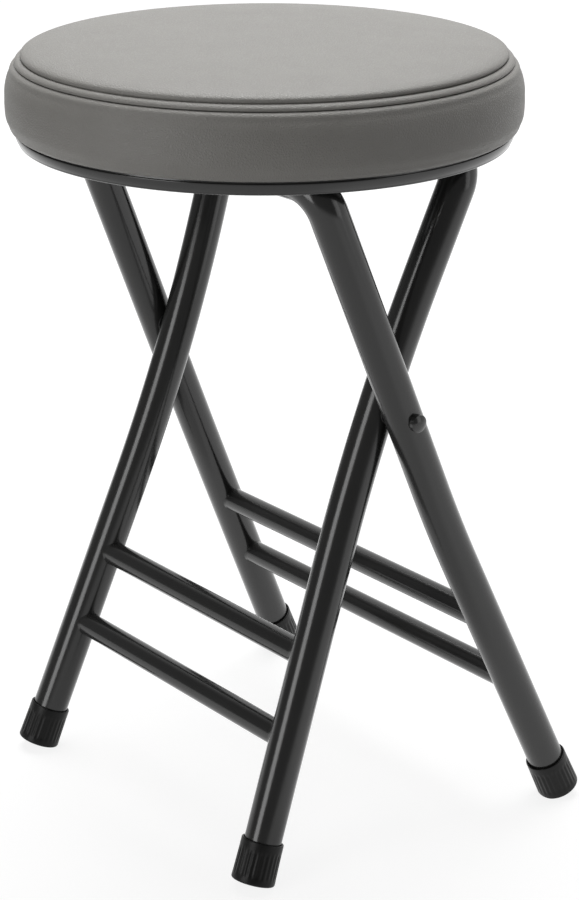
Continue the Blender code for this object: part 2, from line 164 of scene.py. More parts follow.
def skin(name, grid, finish, closed=False):
    """A closed mesh over a grid (rows, columns, 3) whose columns go round the rows' direction.

    Each quad joins a point, the next one round and those two in the row after. The first
    and last rows are joined to each other, or get one flat face each.
    """
    rows, columns = grid.shape[:2]
    number = np.arange(rows * columns).reshape(rows, columns)
    ends = [] if closed else [number[0, ::-1].tolist(), number[-1].tolist()]
    if closed:
        number = np.vstack([number, number[:1]])
    following = np.roll(number, -1, axis=1)
    quads = np.stack([number[:-1], following[:-1], following[1:], number[1:]], -1)
    return put_mesh(name, grid, quads.reshape(-1, 4).tolist() + ends, finish)


def dress(piece, body, slot, *nodes):
    """The piece rides on a body and stands for CAD nodes, which are hidden; slot is not used."""
    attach(piece, body)
    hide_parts(*nodes)


def slope(degrees):
    """The tangent of an angle in degrees."""
    return math.tan(math.radians(degrees))


def leant(points, turn):
    """Points of a frame's own plane, turned about X at the rivets' axis.

    y becomes y cos - z sin, and z becomes y sin + z cos.
    """
    c, s = math.cos(math.radians(turn)), math.sin(math.radians(turn))
    return points @ np.array([[1, 0, 0], [0, c, s], [0, -s, c]]) + PIVOT


# Baking enamel is a thin hard gloss coat. Its faint orange peel, about 2 mm from crest to
# crest, softens the lights it mirrors, and the spray leaves it a little uneven in gloss.
PEEL_W, PEEL_DEPTH, SPRAY_W = 0.002, 0.000006, 0.035
enamel, tree, shader, where = new_finish("black_baking_enamel", 0.24)
peel = add_node(tree, "ShaderNodeTexNoise", {"Vector": where, "Scale": 1 / PEEL_W, "Detail": 1.0})
drift = add_node(tree, "ShaderNodeTexNoise", {"Vector": where, "Scale": 1 / SPRAY_W, "Detail": 3.0})
tint = add_node(tree, "ShaderNodeValToRGB", {"Fac": drift.outputs["Fac"]})
tint.color_ramp.elements[0].color = linear("#282828")
tint.color_ramp.elements[1].color = linear("#2e2e2d")
gloss = add_node(tree, "ShaderNodeMapRange",
                 {"Value": drift.outputs["Fac"], "To Min": 0.15, "To Max": 0.22})
grit = add_node(tree, "ShaderNodeBump",
                {"Height": peel.outputs["Fac"], "Strength": 0.5, "Distance": PEEL_DEPTH})
tree.links.new(tint.outputs["Color"], shader.inputs["Base Color"])
tree.links.new(gloss.outputs["Result"], shader.inputs["Roughness"])
tree.links.new(grit.outputs["Normal"], shader.inputs["Normal"])

legs = {}
for name, (facing, tilt, knee_drop, knee_x, lean, splay, flare) in FRAMES.items():
    turn = facing * tilt
    knee = np.array([knee_x, 0.0, -knee_drop])
    down = unit(np.array([slope(splay), facing * slope(flare), -1.0]))
    bar_rise = (BAR_Z - PIVOT[2]) / math.cos(math.radians(tilt))
    corner = np.array([knee_x + slope(lean) * (knee_drop + bar_rise), 0.0, bar_rise])
    fall = leant(down, turn)[2] - PIVOT[2]          # how steeply the lower leg goes down
    sole_z = (SOLE_R - SOLE_ROUND) * math.sqrt(1 - fall ** 2) + SOLE_ROUND * (1 + fall) - SOLE_FLAT
    sole = knee + down * (leant(knee, turn)[2] - sole_z) / -fall
    legs[name] = (turn, knee, down, sole)
    right = np.array([sole - down * (CAP_SOLE + CLEARANCE), knee, corner])
    u_shape = np.vstack([right, right[::-1] * (-1, 1, 1)])
    path = bent_path(u_shape, (KNEE_R, CORNER_R, CORNER_R, KNEE_R),
                     (KNEE_RINGS, CORNER_RINGS, CORNER_RINGS, KNEE_RINGS))
    grid = carried(ring(TUBE_R, TUBE_SIDES), path, np.array([0.0, 1.0, 0.0]))
    tube = skin(name + "_bent_tube", leant(grid, turn), enamel)
    dress(tube, name + "_legs", "black_paint", name + "_frame")

# Rungs
# Two thinner tubes brace the lower legs of each frame. Their ends are shaped to the legs'
# round sides and welded on, which leaves a small smooth fillet under the paint.
RUNG_R = 0.0075
RUNG_DROPS = {"upper": 0.1495, "lower": 0.1985}     # below the rivets, down the frame
FILLET, FILLET_W, SUNK = 0.0003, 0.0020, 0.0006     # its rise and width, and how far ends go in
RUNG_SIDES, FILLET_RINGS = 48, 9


def saddle(y, z, leg, radius):
    """Distance along X from a leg's axis to its inner side, seen from a point (y, z) of a rung.

    It is the lower root a of |p|^2 - (p . leg)^2 = radius^2 for p = (a, y, z), leg of length 1.
    """
    along = y * leg[1] + z * leg[2]
    square = 1 - leg[0] ** 2
    rest = y ** 2 + z ** 2 - along ** 2 - radius ** 2
    return (along * leg[0] - np.sqrt((along * leg[0]) ** 2 - square * rest)) / square


for name, (turn, knee, down, sole) in legs.items():
    for level, drop in RUNG_DROPS.items():
        joint = knee + down * (drop + knee[2]) / -down[2]
        away = np.concatenate([[-SUNK], np.linspace(0, FILLET_W, FILLET_RINGS)])[:, None]
        radius = RUNG_R + FILLET * np.clip(1 - away / FILLET_W, 0, 1) ** 2
        offset = radius[..., None] * ring(1.0, RUNG_SIDES)      # (y, z) of each point
        x = joint[0] + saddle(offset[..., 0], offset[..., 1], down, TUBE_R) - away
        half = np.concatenate([x[..., None], joint[1:] + offset], -1)
        grid = np.concatenate([half * (-1, 1, 1), half[::-1]])
        rung = skin(f"{name}_{level}_crossbar", leant(grid, turn), enamel)
        dress(rung, name + "_legs", "black_paint", f"{name}_{level}_rung")

# Foot caps
# Moulded black rubber cups are pushed over the tube ends. They have a plain band at the mouth,
# shallow flutes below it, a rounded sole, and a flat worn where they stand on the floor.
CAP_L, CAP_R, BORE_R = 0.025, 0.0125, 0.0113
CAP_EYE = 0.0006                        # small flat face that closes the cup at its axis
LIP_ROUND, FLUTE_DEPTH, FLUTES = 0.0005, 0.00036, 26
FLUTES_FROM, FLUTES_TO, FLUTE_FADE = 0.0035, 0.0205, 0.002
CAP_SIDES, WALL_ROWS, ARC_POINTS = FLUTES * 8, 24, 8


def turned(profile, sides):
    """A profile of (radius, height) turned about Z: (r cos a, r sin a, h).

    The profile goes up on its outer side.
    """
    flat = profile[:, None, :1] * ring(1.0, sides)
    return np.concatenate([flat, np.broadcast_to(profile[:, None, 1:], flat[..., :1].shape)], -1)


def rounded_profile(points, radii):
    """A profile's (radius, height) corners, the inner ones rounded by arcs."""
    corners = [(r, 0.0, h) for r, h in points]
    return bent_path(corners, radii, [ARC_POINTS] * len(radii))[:, (0, 2)]


def set_on(grid, place, axis):
    """A turned grid moved so that its Z axis points along axis from a place."""
    away = (0.0, 0.0, 1.0) if abs(axis[2]) < 0.9 else (0.0, 1.0, 0.0)
    first = unit(np.cross(axis, away))
    second = np.cross(axis, first)
    return place + grid[..., :1] * first + grid[..., 1:2] * second + grid[..., 2:] * axis


# Moulded rubber is dull and dark, with a fine grain from its mould, drawn here 0.8 mm wide so
# that it shows.
GRAIN_W, GRAIN_DEPTH, DUST_W = 0.0008, 0.00004, 0.012
rubber, tree, shader, where = new_finish("moulded_black_rubber", 0.45, ior=1.3)
grain = add_node(tree, "ShaderNodeTexNoise", {"Vector": where, "Scale": 1 / GRAIN_W, "Detail": 2.0})
dust = add_node(tree, "ShaderNodeTexNoise", {"Vector": where, "Scale": 1 / DUST_W, "Detail": 4.0})
tint = add_node(tree, "ShaderNodeValToRGB", {"Fac": dust.outputs["Fac"]})
tint.color_ramp.elements[0].color = linear("#070707")
tint.color_ramp.elements[1].color = linear("#0e0e0d")
dull = add_node(tree, "ShaderNodeMapRange",
                {"Value": dust.outputs["Fac"], "To Min": 0.32, "To Max": 0.5})
grit = add_node(tree, "ShaderNodeBump",
                {"Height": grain.outputs["Fac"], "Strength": 0.6, "Distance": GRAIN_DEPTH})
tree.links.new(tint.outputs["Color"], shader.inputs["Base Color"])
tree.links.new(dull.outputs["Result"], shader.inputs["Roughness"])
tree.links.new(grit.outputs["Normal"], shader.inputs["Normal"])

# The cup's profile gets more rows on its wall, which runs from the sole's arc to the lip's arc.
# A flute is a cosine round the cup, faded in and out along the wall.
profile = rounded_profile(
    [(CAP_EYE, 0), (SOLE_R, 0), (CAP_R, CAP_L), (BORE_R, CAP_L), (BORE_R, CAP_SOLE),
     (CAP_EYE, CAP_SOLE)], (SOLE_ROUND, LIP_ROUND, LIP_ROUND, LIP_ROUND))
share = np.linspace(0, 1, WALL_ROWS + 2)[1:-1, None]
mouth = 1 + ARC_POINTS
wall = profile[mouth - 1] + (profile[mouth] - profile[mouth - 1]) * share
profile = np.vstack([profile[:mouth], wall, profile[mouth:]])
height = profile[:, 1]
rising = np.clip((height - FLUTES_FROM) / FLUTE_FADE, 0, 1)
window = rising * np.clip((FLUTES_TO - height) / FLUTE_FADE, 0, 1)
window[mouth + len(wall):] = 0
a = np.linspace(0, 2 * math.pi, CAP_SIDES, endpoint=False)
flute = FLUTE_DEPTH * window[:, None] * (0.5 - 0.5 * np.cos(FLUTES * a))
cup = turned(profile, CAP_SIDES)
cup[..., :2] -= flute[..., None] * ring(1.0, CAP_SIDES)
for name, (turn, knee, down, sole) in legs.items():
    for hand, mirror in (("right", 1), ("left", -1)):
        place = leant(sole * (mirror, 1, 1), turn)
        up = PIVOT - leant(down * (mirror, 1, 1), turn)
        grid = set_on(cup, place, up)
        grid[..., 2] = np.maximum(grid[..., 2], 0.0)
        cap = skin(f"{name}_{hand}_rubber_foot", grid, rubber)
        dress(cap, name + "_legs", "black_rubber", f"{name}_{hand}_foot_cap")

# Pivot rivets and spacers
# A domed steel rivet goes through the outer leg where the frames cross and is set inside the
# inner one. A nylon washer keeps the tubes' paint apart.
INNER_LEG_X, OUTER_LEG_X = 0.096925, 0.120125       # legs' axes at the rivets
RIVET_R, HEAD_R, HEAD_H, HEAD_BAND = 0.003, 0.0052, 0.0036, 0.0022
HEAD_SUNK = 0.0004                      # the head is drawn a little into the tube
TAIL_R, TAIL_H, TAIL_X, TAIL_EYE = 0.0045, 0.0015, 0.10509, 0.0004
RIVET_EDGES = (0.0007, 0.0002, 0.0002, 0.0002, 0.0003)
SPACER_R, SPACER_EDGES = 0.007, (0.0001, 0.0002, 0.0002, 0.0001)
DOME_RINGS, DOME_EYE, RIVET_SIDES = 12, 0.03, 64    # the eye is in radians from the dome's pole

# Moulded nylon is dull black with a fine frosting, drawn here 0.6 mm wide so that it shows.
FROST_W, FROST_DEPTH = 0.0006, 0.00003
nylon, tree, shader, where = new_finish("moulded_black_nylon", 0.5)
frost = add_node(tree, "ShaderNodeTexNoise", {"Vector": where, "Scale": 1 / FROST_W, "Detail": 2.0})
tint = add_node(tree, "ShaderNodeValToRGB", {"Fac": frost.outputs["Fac"]})
tint.color_ramp.elements[0].color = linear("#1d1d1d")
tint.color_ramp.elements[1].color = linear("#262626")
grit = add_node(tree, "ShaderNodeBump",
                {"Height": frost.outputs["Fac"], "Strength": 0.5, "Distance": FROST_DEPTH})
tree.links.new(tint.outputs["Color"], shader.inputs["Base Color"])
tree.links.new(grit.outputs["Normal"], shader.inputs["Normal"])

# A dome of height h over a radius r is part of a sphere of radius (r^2 + h^2) / 2h.
seat_of_head = OUTER_LEG_X + TUBE_R - HEAD_SUNK
dome_r = (HEAD_R ** 2 + (HEAD_H - HEAD_BAND) ** 2) / (2 * (HEAD_H - HEAD_BAND))
swing = np.linspace(math.asin(HEAD_R / dome_r), DOME_EYE, DOME_RINGS)
top = seat_of_head + HEAD_SUNK + CLEARANCE + HEAD_H
dome = np.stack([dome_r * np.sin(swing), top - dome_r + dome_r * np.cos(swing)], -1)
shank = rounded_profile(
    [(TAIL_EYE, TAIL_X - TAIL_H), (TAIL_R, TAIL_X - TAIL_H), (TAIL_R, TAIL_X), (RIVET_R, TAIL_X),
     (RIVET_R, seat_of_head), (HEAD_R, seat_of_head), (HEAD_R, dome[0, 1])], RIVET_EDGES)
rivet_grid = turned(np.vstack([shank[:-1], dome]), RIVET_SIDES)
inside, outside = INNER_LEG_X + TUBE_R + CLEARANCE, OUTER_LEG_X - TUBE_R - CLEARANCE
hole_r = RIVET_R + CLEARANCE
washer = rounded_profile(
    [(hole_r, (inside + outside) / 2), (hole_r, inside), (SPACER_R, inside), (SPACER_R, outside),
     (hole_r, outside), (hole_r, (inside + outside) / 2)], SPACER_EDGES)[:-1]
washer_grid = turned(washer, RIVET_SIDES)
for hand, axis in (("right", np.array([1.0, 0, 0])), ("left", np.array([-1.0, 0, 0]))):
    rivet = skin(hand + "_domed_rivet", set_on(rivet_grid, PIVOT, axis), enamel)
    dress(rivet, "outer_legs", "black_paint", hand + "_pivot_rivet")
    spacer = skin(hand + "_nylon_washer", set_on(washer_grid, PIVOT, axis), nylon, closed=True)
    dress(spacer, "outer_legs", "black_nylon", hand + "_pivot_spacer")

# Seat pan
# A shallow round pan is pressed from sheet steel, its edge turned down and rolled to a bead,
# and painted like the frames. The straps and hooks are screwed through it.
PAN_Z, PAN_TOP = 0.4198, 0.4210         # under and upper face
PAN_EYE, PAN_BEND = 0.002, 0.0015       # flat face at the axis, and bend down into the rim
PAN_R, RIM_TAPER = 0.1442, 0.0016       # pan's edge, and how far the rim's lower edge stands in
RIM_LOW, RIM_T, RIM_LEAN, BEAD_R = 0.40865, 0.0024, 0.0006, 0.0012
ROLL_Z, ROLL_LIP = 0.4148, 0.0005       # top of the rolled rim, and the lip above it
NECK, NECK_TOP, NECK_EDGE = 0.0010, 0.0008, 0.0002  # its depth, and its ends below the pan
NECK_EDGES = (0.0003, 0.0002, 0.0004)
RIM_ROWS, EDGE_ROWS, PAN_SIDES = 14, 9, 240
PAN_T = PAN_TOP - PAN_Z
bead_z = RIM_LOW + BEAD_R
low_r = PAN_R - RIM_TAPER

# The profile goes out under the pan, down the rim's inside, round its bead, up the outside,
# whose radius grows with the square of the height, through the neck and over the shoulder.
inner = rounded_profile(
    [(PAN_EYE, PAN_Z), (PAN_R - RIM_T - RIM_LEAN, PAN_Z), (low_r - RIM_T, bead_z)], (PAN_BEND,))
lap = np.linspace(math.pi, 2 * math.pi, RIM_ROWS)[1:]
bead = np.stack([low_r - BEAD_R + BEAD_R * np.cos(lap), bead_z + BEAD_R * np.sin(lap)], -1)
share = np.linspace(1, 0, RIM_ROWS)[1:]
wall = np.stack([PAN_R - RIM_TAPER * share ** 2, ROLL_Z + (bead_z - ROLL_Z) * share], -1)
neck = rounded_profile(
    [wall[-1], (PAN_R, ROLL_Z + ROLL_LIP), (PAN_R - NECK, ROLL_Z + ROLL_LIP),
     (PAN_R - NECK, PAN_Z - NECK_TOP), (PAN_R, PAN_Z - NECK_EDGE)], NECK_EDGES)[1:]
lap = np.linspace(0, math.pi / 2, EDGE_ROWS)[1:]
shoulder = np.stack([PAN_R - PAN_T + PAN_T * np.cos(lap), PAN_Z + PAN_T * np.sin(lap)], -1)
profile = np.vstack([inner, bead, wall, neck, shoulder, [(PAN_EYE, PAN_TOP)]])
pan = skin("pressed_seat_pan", turned(profile, PAN_SIDES), enamel)
dress(pan, "seat", "black_paint", "seat_pan")

# Hinge straps and catch hooks
# Two saddle straps of zinc-plated strip hold the seat on the outer frame's top bar, and two
# hooks with one arm drop over the inner frame's bar. Each lies flat under the pan.
HINGE_Y, CATCH_Y = -0.052678, 0.059534  # axes of the outer and the inner frame's top bar
STRIP_T, STRIP_EDGE, STRIP_BEND = 0.0016, 0.0005, 0.0012
STRAP_W, STRAP_X, HOOK_W, HOOK_X = 0.022, 0.052, 0.030, 0.052
FOOT_L, HOOK_WRAP = 0.014, 10.0         # flat foot, and the hook's turn under the bar in degrees
STRIP_SIDES, BEND_RINGS, WRAP_RINGS, SADDLE_RINGS = 24, 10, 5, 41
OFF_AXIS = 0.1                          # turn that keeps a section's points off its own axes
bend_r = TUBE_R + CLEARANCE + STRIP_T / 2           # strip's middle round the bar
foot_end = TUBE_R + CLEARANCE + STRIP_T + FOOT_L
foot_h = TUBE_R - STRIP_T / 2

# Zinc plate on cold-rolled strip is bright and slightly blue, with fine rolling lines about
# 0.5 mm apart and cloudy patches where the plating is duller.
LINE_W, LINE_L, LINE_DEPTH, CLOUD_W = 0.0005, 0.012, 0.00002, 0.006
zinc, tree, shader, where = new_finish("zinc_plated_steel", 0.35, metallic=1.0)
stretch = add_node(tree, "ShaderNodeMapping",
                   {"Vector": where, "Scale": (1 / LINE_W, 1 / LINE_L, 1 / LINE_L)})
lines = add_node(tree, "ShaderNodeTexNoise",
                 {"Vector": stretch.outputs["Vector"], "Scale": 1.0, "Detail": 2.0})
cloud = add_node(tree, "ShaderNodeTexNoise", {"Vector": where, "Scale": 1 / CLOUD_W, "Detail": 3.0})
tint = add_node(tree, "ShaderNodeValToRGB", {"Fac": cloud.outputs["Fac"]})
tint.color_ramp.elements[0].color = linear("#b4b7ba")
tint.color_ramp.elements[1].color = linear("#cfd0cf")
dull = add_node(tree, "ShaderNodeMapRange",
                {"Value": cloud.outputs["Fac"], "To Min": 0.24, "To Max": 0.46})
grit = add_node(tree, "ShaderNodeBump",
                {"Height": lines.outputs["Fac"], "Strength": 0.4, "Distance": LINE_DEPTH})
tree.links.new(tint.outputs["Color"], shader.inputs["Base Color"])
tree.links.new(dull.outputs["Result"], shader.inputs["Roughness"])
tree.links.new(grit.outputs["Normal"], shader.inputs["Normal"])


def strip_section(width):
    """A rounded rectangle: half sizes less the edge radius, signed as (cos a, sin a), plus a ring."""
    c, s = math.cos(OFF_AXIS), math.sin(OFF_AXIS)
    corner = ring(1.0, STRIP_SIDES) @ np.array([[c, s], [-s, c]])
    half = np.array([width, STRIP_T]) / 2 - STRIP_EDGE
    return np.sign(corner) * half + STRIP_EDGE * corner


def round_bar(t):
    """Points round a bar, from its +Y side and under it: (0, r cos t, -r sin t)."""
    return np.stack([0 * t, bend_r * np.cos(t), -bend_r * np.sin(t)], -1)


arm = bent_path([(0, foot_end, foot_h), (0, bend_r, foot_h), (0, bend_r, 0)],
                (STRIP_BEND,), (BEND_RINGS,))
hook_path = np.vstack([arm[:-1], round_bar(np.linspace(0, math.radians(HOOK_WRAP), WRAP_RINGS))])
half_turn = np.linspace(0, math.pi, SADDLE_RINGS)[1:-1]
saddle_path = np.vstack([arm, round_bar(half_turn), arm[::-1] * (1, -1, 1)])
for hand, sign in (("right", 1), ("left", -1)):
    for kind, path, width, x, y in (("hinge_strap", saddle_path, STRAP_W, STRAP_X, HINGE_Y),
                                    ("catch_hook", hook_path, HOOK_W, HOOK_X, CATCH_Y)):
        grid = carried(strip_section(width), path, np.array([1.0, 0.0, 0.0])) + (sign * x, y, BAR_Z)
        dress(skin(f"{hand}_plated_{kind}", grid, zinc), "seat", "zinc_plate", f"{hand}_{kind}")

# Screws
# Each strap has a screw at its front and its rear, and each hook has two side by side. They are
# plated pan heads with a cross recess and bite through the pan into the board.
SCREW_R, SCREW_HEAD_R, SCREW_HEAD_H = 0.002, 0.004, 0.0024
RECESS_R, RECESS_W, RECESS_DEPTH = 0.0021, 0.0005, 0.0012
RECESS_WALL, RECESS_END = 0.00025, 0.0006           # slopes of its sides and of its arms' ends
HOOK_SCREW_PITCH, SCREW_TIP, SCREW_TIP_R = 0.018, 0.4271, 0.0003
HEAD_RINGS, HEAD_EYE, SCREW_SIDES = 30, 0.02, 96    # the eye is in radians from the head's pole
reach = TUBE_R + CLEARANCE + STRIP_T + FOOT_L / 2
head_z = PAN_Z - 2 * CLEARANCE - STRIP_T
dome_r = (SCREW_HEAD_R ** 2 + SCREW_HEAD_H ** 2) / (2 * SCREW_HEAD_H)
swing = np.linspace(HEAD_EYE, math.asin(SCREW_HEAD_R / dome_r), HEAD_RINGS)
dome = np.stack([dome_r * np.sin(swing), head_z - SCREW_HEAD_H + dome_r * (1 - np.cos(swing))], -1)
shank = np.array([(SCREW_R, head_z), (SCREW_R, SCREW_TIP - SCREW_R), (SCREW_TIP_R, SCREW_TIP)])
screw_grid = turned(np.vstack([dome, shank]), SCREW_SIDES)
flat_r = np.hypot(screw_grid[..., 0], screw_grid[..., 1])
arm_of_cross = np.minimum(np.abs(screw_grid[..., 0]), np.abs(screw_grid[..., 1]))
sunk = np.clip((RECESS_W - arm_of_cross) / RECESS_WALL, 0, 1)
sunk *= np.clip((RECESS_R - flat_r) / RECESS_END, 0, 1)
sunk[len(dome):] = 0
screw_grid[..., 2] += RECESS_DEPTH * sunk
for hand, sign in (("right", 1), ("left", -1)):
    for node, x, y in (("front_strap", STRAP_X, HINGE_Y - reach),
                       ("rear_strap", STRAP_X, HINGE_Y + reach),
                       ("inner_hook", HOOK_X - HOOK_SCREW_PITCH / 2, CATCH_Y + reach),
                       ("outer_hook", HOOK_X + HOOK_SCREW_PITCH / 2, CATCH_Y + reach)):
        screw = skin(f"{hand}_{node}_pan_head", screw_grid + (sign * x, y, 0), zinc)
        dress(screw, "seat", "zinc_plate", f"{hand}_{node}_screw")

# Seat board
# A disc of thin plywood inside the cover carries the foam and takes the screws. It is hidden,
# so the CAD solid stays and only gets its wood.
# Rotary-cut veneer shows long wavy grain, about 4 mm from line to line.
VENEER_L, VENEER_W, VENEER_DEPTH = 0.06, 0.004, 0.0002
plywood, tree, shader, where = new_finish("sanded_plywood", 0.6)
stretch = add_node(tree, "ShaderNodeMapping",
                   {"Vector": where, "Scale": (1 / VENEER_L, 1 / VENEER_W, 1 / VENEER_W)})
grain = add_node(tree, "ShaderNodeTexNoise", {"Vector": stretch.outputs["Vector"], "Scale": 1.0,
                                              "Detail": 4.0, "Distortion": 0.6})
tint = add_node(tree, "ShaderNodeValToRGB", {"Fac": grain.outputs["Fac"]})
tint.color_ramp.elements[0].color = linear("#a9825a")
tint.color_ramp.elements[1].color = linear("#d3b48a")
grit = add_node(tree, "ShaderNodeBump",
                {"Height": grain.outputs["Fac"], "Strength": 0.3, "Distance": VENEER_DEPTH})
tree.links.new(tint.outputs["Color"], shader.inputs["Base Color"])
tree.links.new(grit.outputs["Normal"], shader.inputs["Normal"])
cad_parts["seat_board"].material_slots[0].material = plywood

# Cushion
# A round foam pad in a sewn cover of grey vinyl: a top panel and a side band meet in a piped
# seam. The cover is drawn down round the board's edge and turned in under it.
PANEL_R, PANEL_EDGE_Z = 0.1332, 0.4619
START_CROWN, CROWN_POWER = 0.0039, 7    # crown before the swell, nearly flat with a rolled edge
PANEL_SWELL, BAND_SWELL = 0.0008, 0.0007
FREE_SHARE = 0.985                      # part of the panel's radius that isn't sewn fast
CORD_R, CORD_Z = 0.1414, 0.4556         # middle of the piping cord
SHOULDER = np.array([[-0.6452, 0.7641], [0.7641, 0.6452]])  # up the shoulder, and out of it
HEM_Z = 0.4213
STUFFING, LAST_FRAME = 4.0, 20          # pressure and length of the cloth simulation
PANEL_CELLS = 48                        # quads along a side of the panel's square grid
SIDES = 4 * PANEL_CELLS

# Upholstery vinyl is PVC on cloth, embossed with a fine leather grain of cells about 1.5 mm
# wide that breaks its soft satin gloss, and slightly uneven in colour.
CELL_W, CELL_DEPTH, BLOTCH_W = 0.0015, 0.00016, 0.02
WARP_W, WARP = 0.004, (0.0012, 0.0012, 0.0012)      # how far cells are pushed out of line
vinyl, tree, shader, where = new_finish("embossed_grey_vinyl", 0.5)
warp = add_node(tree, "ShaderNodeTexNoise", {"Vector": where, "Scale": 1 / WARP_W, "Detail": 2.0})
bent = add_node(tree, "ShaderNodeVectorMath", {0: warp.outputs["Color"], 1: WARP, 2: where},
                operation='MULTIPLY_ADD')
cells = add_node(tree, "ShaderNodeTexVoronoi", {"Vector": bent.outputs["Vector"], "Scale": 1 / CELL_W},
                 feature='DISTANCE_TO_EDGE')
pebble = add_node(tree, "ShaderNodeMapRange", {"Value": cells.outputs["Distance"], "From Max": 0.35},
                  interpolation_type='SMOOTHSTEP')
blotch = add_node(tree, "ShaderNodeTexNoise", {"Vector": where, "Scale": 1 / BLOTCH_W, "Detail": 5.0})
tint = add_node(tree, "ShaderNodeValToRGB", {"Fac": blotch.outputs["Fac"]})
tint.color_ramp.elements[0].color = linear("#868480")
tint.color_ramp.elements[1].color = linear("#908e8a")
satin = add_node(tree, "ShaderNodeMapRange",
                 {"Value": pebble.outputs["Result"], "To Min": 0.55, "To Max": 0.38})
grit = add_node(tree, "ShaderNodeBump",
                {"Height": pebble.outputs["Result"], "Strength": 0.7, "Distance": CELL_DEPTH})
tree.links.new(tint.outputs["Color"], shader.inputs["Base Color"])
tree.links.new(satin.outputs["Result"], shader.inputs["Roughness"])
tree.links.new(grit.outputs["Normal"], shader.inputs["Normal"])

# The panel is a square grid laid on a disc in rings of equal angle: for |a| >= |b| the point is
# a (cos t, sin t) with t = (pi / 4) b / a, and likewise with a and b changed over.
step = np.linspace(-1, 1, PANEL_CELLS + 1)
a, b = np.meshgrid(step, step, indexing="ij")
wide = np.abs(a) >= np.abs(b)
main, other = np.where(wide, a, b), np.where(wide, b, a)
t = math.pi / 4 * np.divide(other, main, out=np.zeros_like(main), where=main != 0)
t = np.where(wide, t, math.pi / 2 - t)
disc = PANEL_R * np.stack([main * np.cos(t), main * np.sin(t)], -1)
disc_r = np.linalg.norm(disc, axis=-1)
panel_z = PANEL_EDGE_Z + START_CROWN * (1 - (disc_r / PANEL_R) ** CROWN_POWER)
panel = np.concatenate([disc, panel_z[..., None]], -1)
number = np.arange(panel_z.size).reshape(panel_z.shape)
panel_faces = np.stack([number[:-1, :-1], number[1:, :-1], number[1:, 1:], number[:-1, 1:]], -1)
rim_of_panel = np.concatenate([number[-1, :-1], number[:0:-1, -1], number[0, :0:-1], number[:-1, 0]])

# From the panel's edge the section rolls into the seam, runs under the cord and comes up over the
# ridge of the side band. The band swells, hangs round the pan as a lip and turns in over the pan.
# The seam's points are in millimetres, up the shoulder and out of it, from the cord's middle.
seam = np.array([
    (8.81, -1.36), (7.15, -0.33), (5.8, 0.33), (4.68, 0.66), (3.8, 0.6), (3.2, 0.32), (2.88, -0.1),
    (2.72, -0.65), (2.6, -1.3), (2.2, -2.2), (1.2, -2.9), (-1.2, -2.9), (-2.2, -2.2), (-2.5, -1.3),
    (-2.65, -0.5), (-3.2, -0.22), (-3.95, 0.12), (-4.75, 0.38), (-5.6, 0.48), (-6.4, 0.35),
    (-7.4, -0.07), (-8.55, -0.8)]) / 1000
seam = np.array([CORD_R, CORD_Z]) + seam @ SHOULDER
band = np.array([
    (0.1469, 0.4466), (0.1477, 0.4438), (0.1484, 0.4409), (0.1490, 0.4379), (0.1494, 0.4347),
    (0.1494, 0.4315), (0.1491, 0.4283), (0.1486, 0.4254), (0.1481, 0.4228)])
turn_under = np.array([
    (0.1477, 0.4207), (0.1473, 0.4190), (0.1467, 0.4177), (0.1459, 0.4169), (0.1451, 0.4166),
    (0.1447, 0.4168), (0.1445, 0.4175), (0.1445, 0.4194), (0.1443, 0.4210), (0.1435, HEM_Z),
    (0.139, HEM_Z), (0.124, HEM_Z), (0.105, HEM_Z), (0.085, HEM_Z), (0.06, HEM_Z), (0.03, HEM_Z)])
section = np.vstack([seam, band, turn_under])
angle = -math.pi / 4 + np.arange(SIDES) * 2 * math.pi / SIDES
around = np.stack([np.cos(angle), np.sin(angle)], -1)
shell = np.concatenate([section[:, None, :1] * around,
                        np.broadcast_to(section[:, None, 1:], (len(section), SIDES, 1))], -1)
shell_number = panel_z.size + np.arange(len(section) * SIDES).reshape(len(section), SIDES)
number = np.vstack([rim_of_panel, shell_number])
following = np.roll(number, -1, axis=1)
shell_faces = np.stack([number[:-1], number[1:], following[1:], following[:-1]], -1)
faces = np.vstack([panel_faces.reshape(-1, 4), shell_faces.reshape(-1, 4)]).tolist()
points = np.vstack([panel.reshape(-1, 3), shell.reshape(-1, 3)])
cushion = put_mesh("vinyl_cushion", points, faces + [number[-1, ::-1].tolist()], vinyl, 180.0)

# The pad is blown up as cloth, sewn fast along the seam and the lower edge. What each free part
# moves is scaled to the swell that it may have.
radius = np.hypot(points[:, 0], points[:, 1])
order = np.arange(len(points))
free_panel = (order < panel_z.size) & (radius < PANEL_R * FREE_SHARE)
first_band = panel_z.size + len(seam) * SIDES
is_band = (order >= first_band) & (order < first_band + len(band) * SIDES)
sewn = cushion.vertex_groups.new(name="sewn")
sewn.add(np.flatnonzero(~(free_panel | is_band)).tolist(), 1.0, 'REPLACE')
cloth = cushion.modifiers.new("stuffing", 'CLOTH')
cloth.settings.vertex_group_mass = "sewn"
cloth.settings.use_pressure = True
cloth.settings.uniform_pressure_force = STUFFING
cloth.settings.effector_weights.gravity = 0.0
cloth.collision_settings.use_collision = False
for number_of_frame in range(1, LAST_FRAME + 1):
    bpy.context.scene.frame_set(number_of_frame)
blown = cushion.evaluated_get(bpy.context.evaluated_depsgraph_get()).to_mesh()
after = np.empty(len(points) * 3)
blown.vertices.foreach_get("co", after)
move = after.reshape(-1, 3) - points
far = np.linalg.norm(move, axis=1)
scale = np.where(free_panel, PANEL_SWELL / far[free_panel].max(), BAND_SWELL / far[is_band].max())
points = points + move * np.where(free_panel | is_band, scale, 0.0)[:, None]
cushion.modifiers.remove(cloth)
cushion.vertex_groups.clear()
bpy.context.scene.frame_set(1)
cushion.data.vertices.foreach_set("co", points.ravel())
finer = cushion.modifiers.new("finer", 'SUBSURF')
finer.levels = finer.render_levels = 1
dress(cushion, "seat", "grey_vinyl", "seat_cover", "foam_pad")

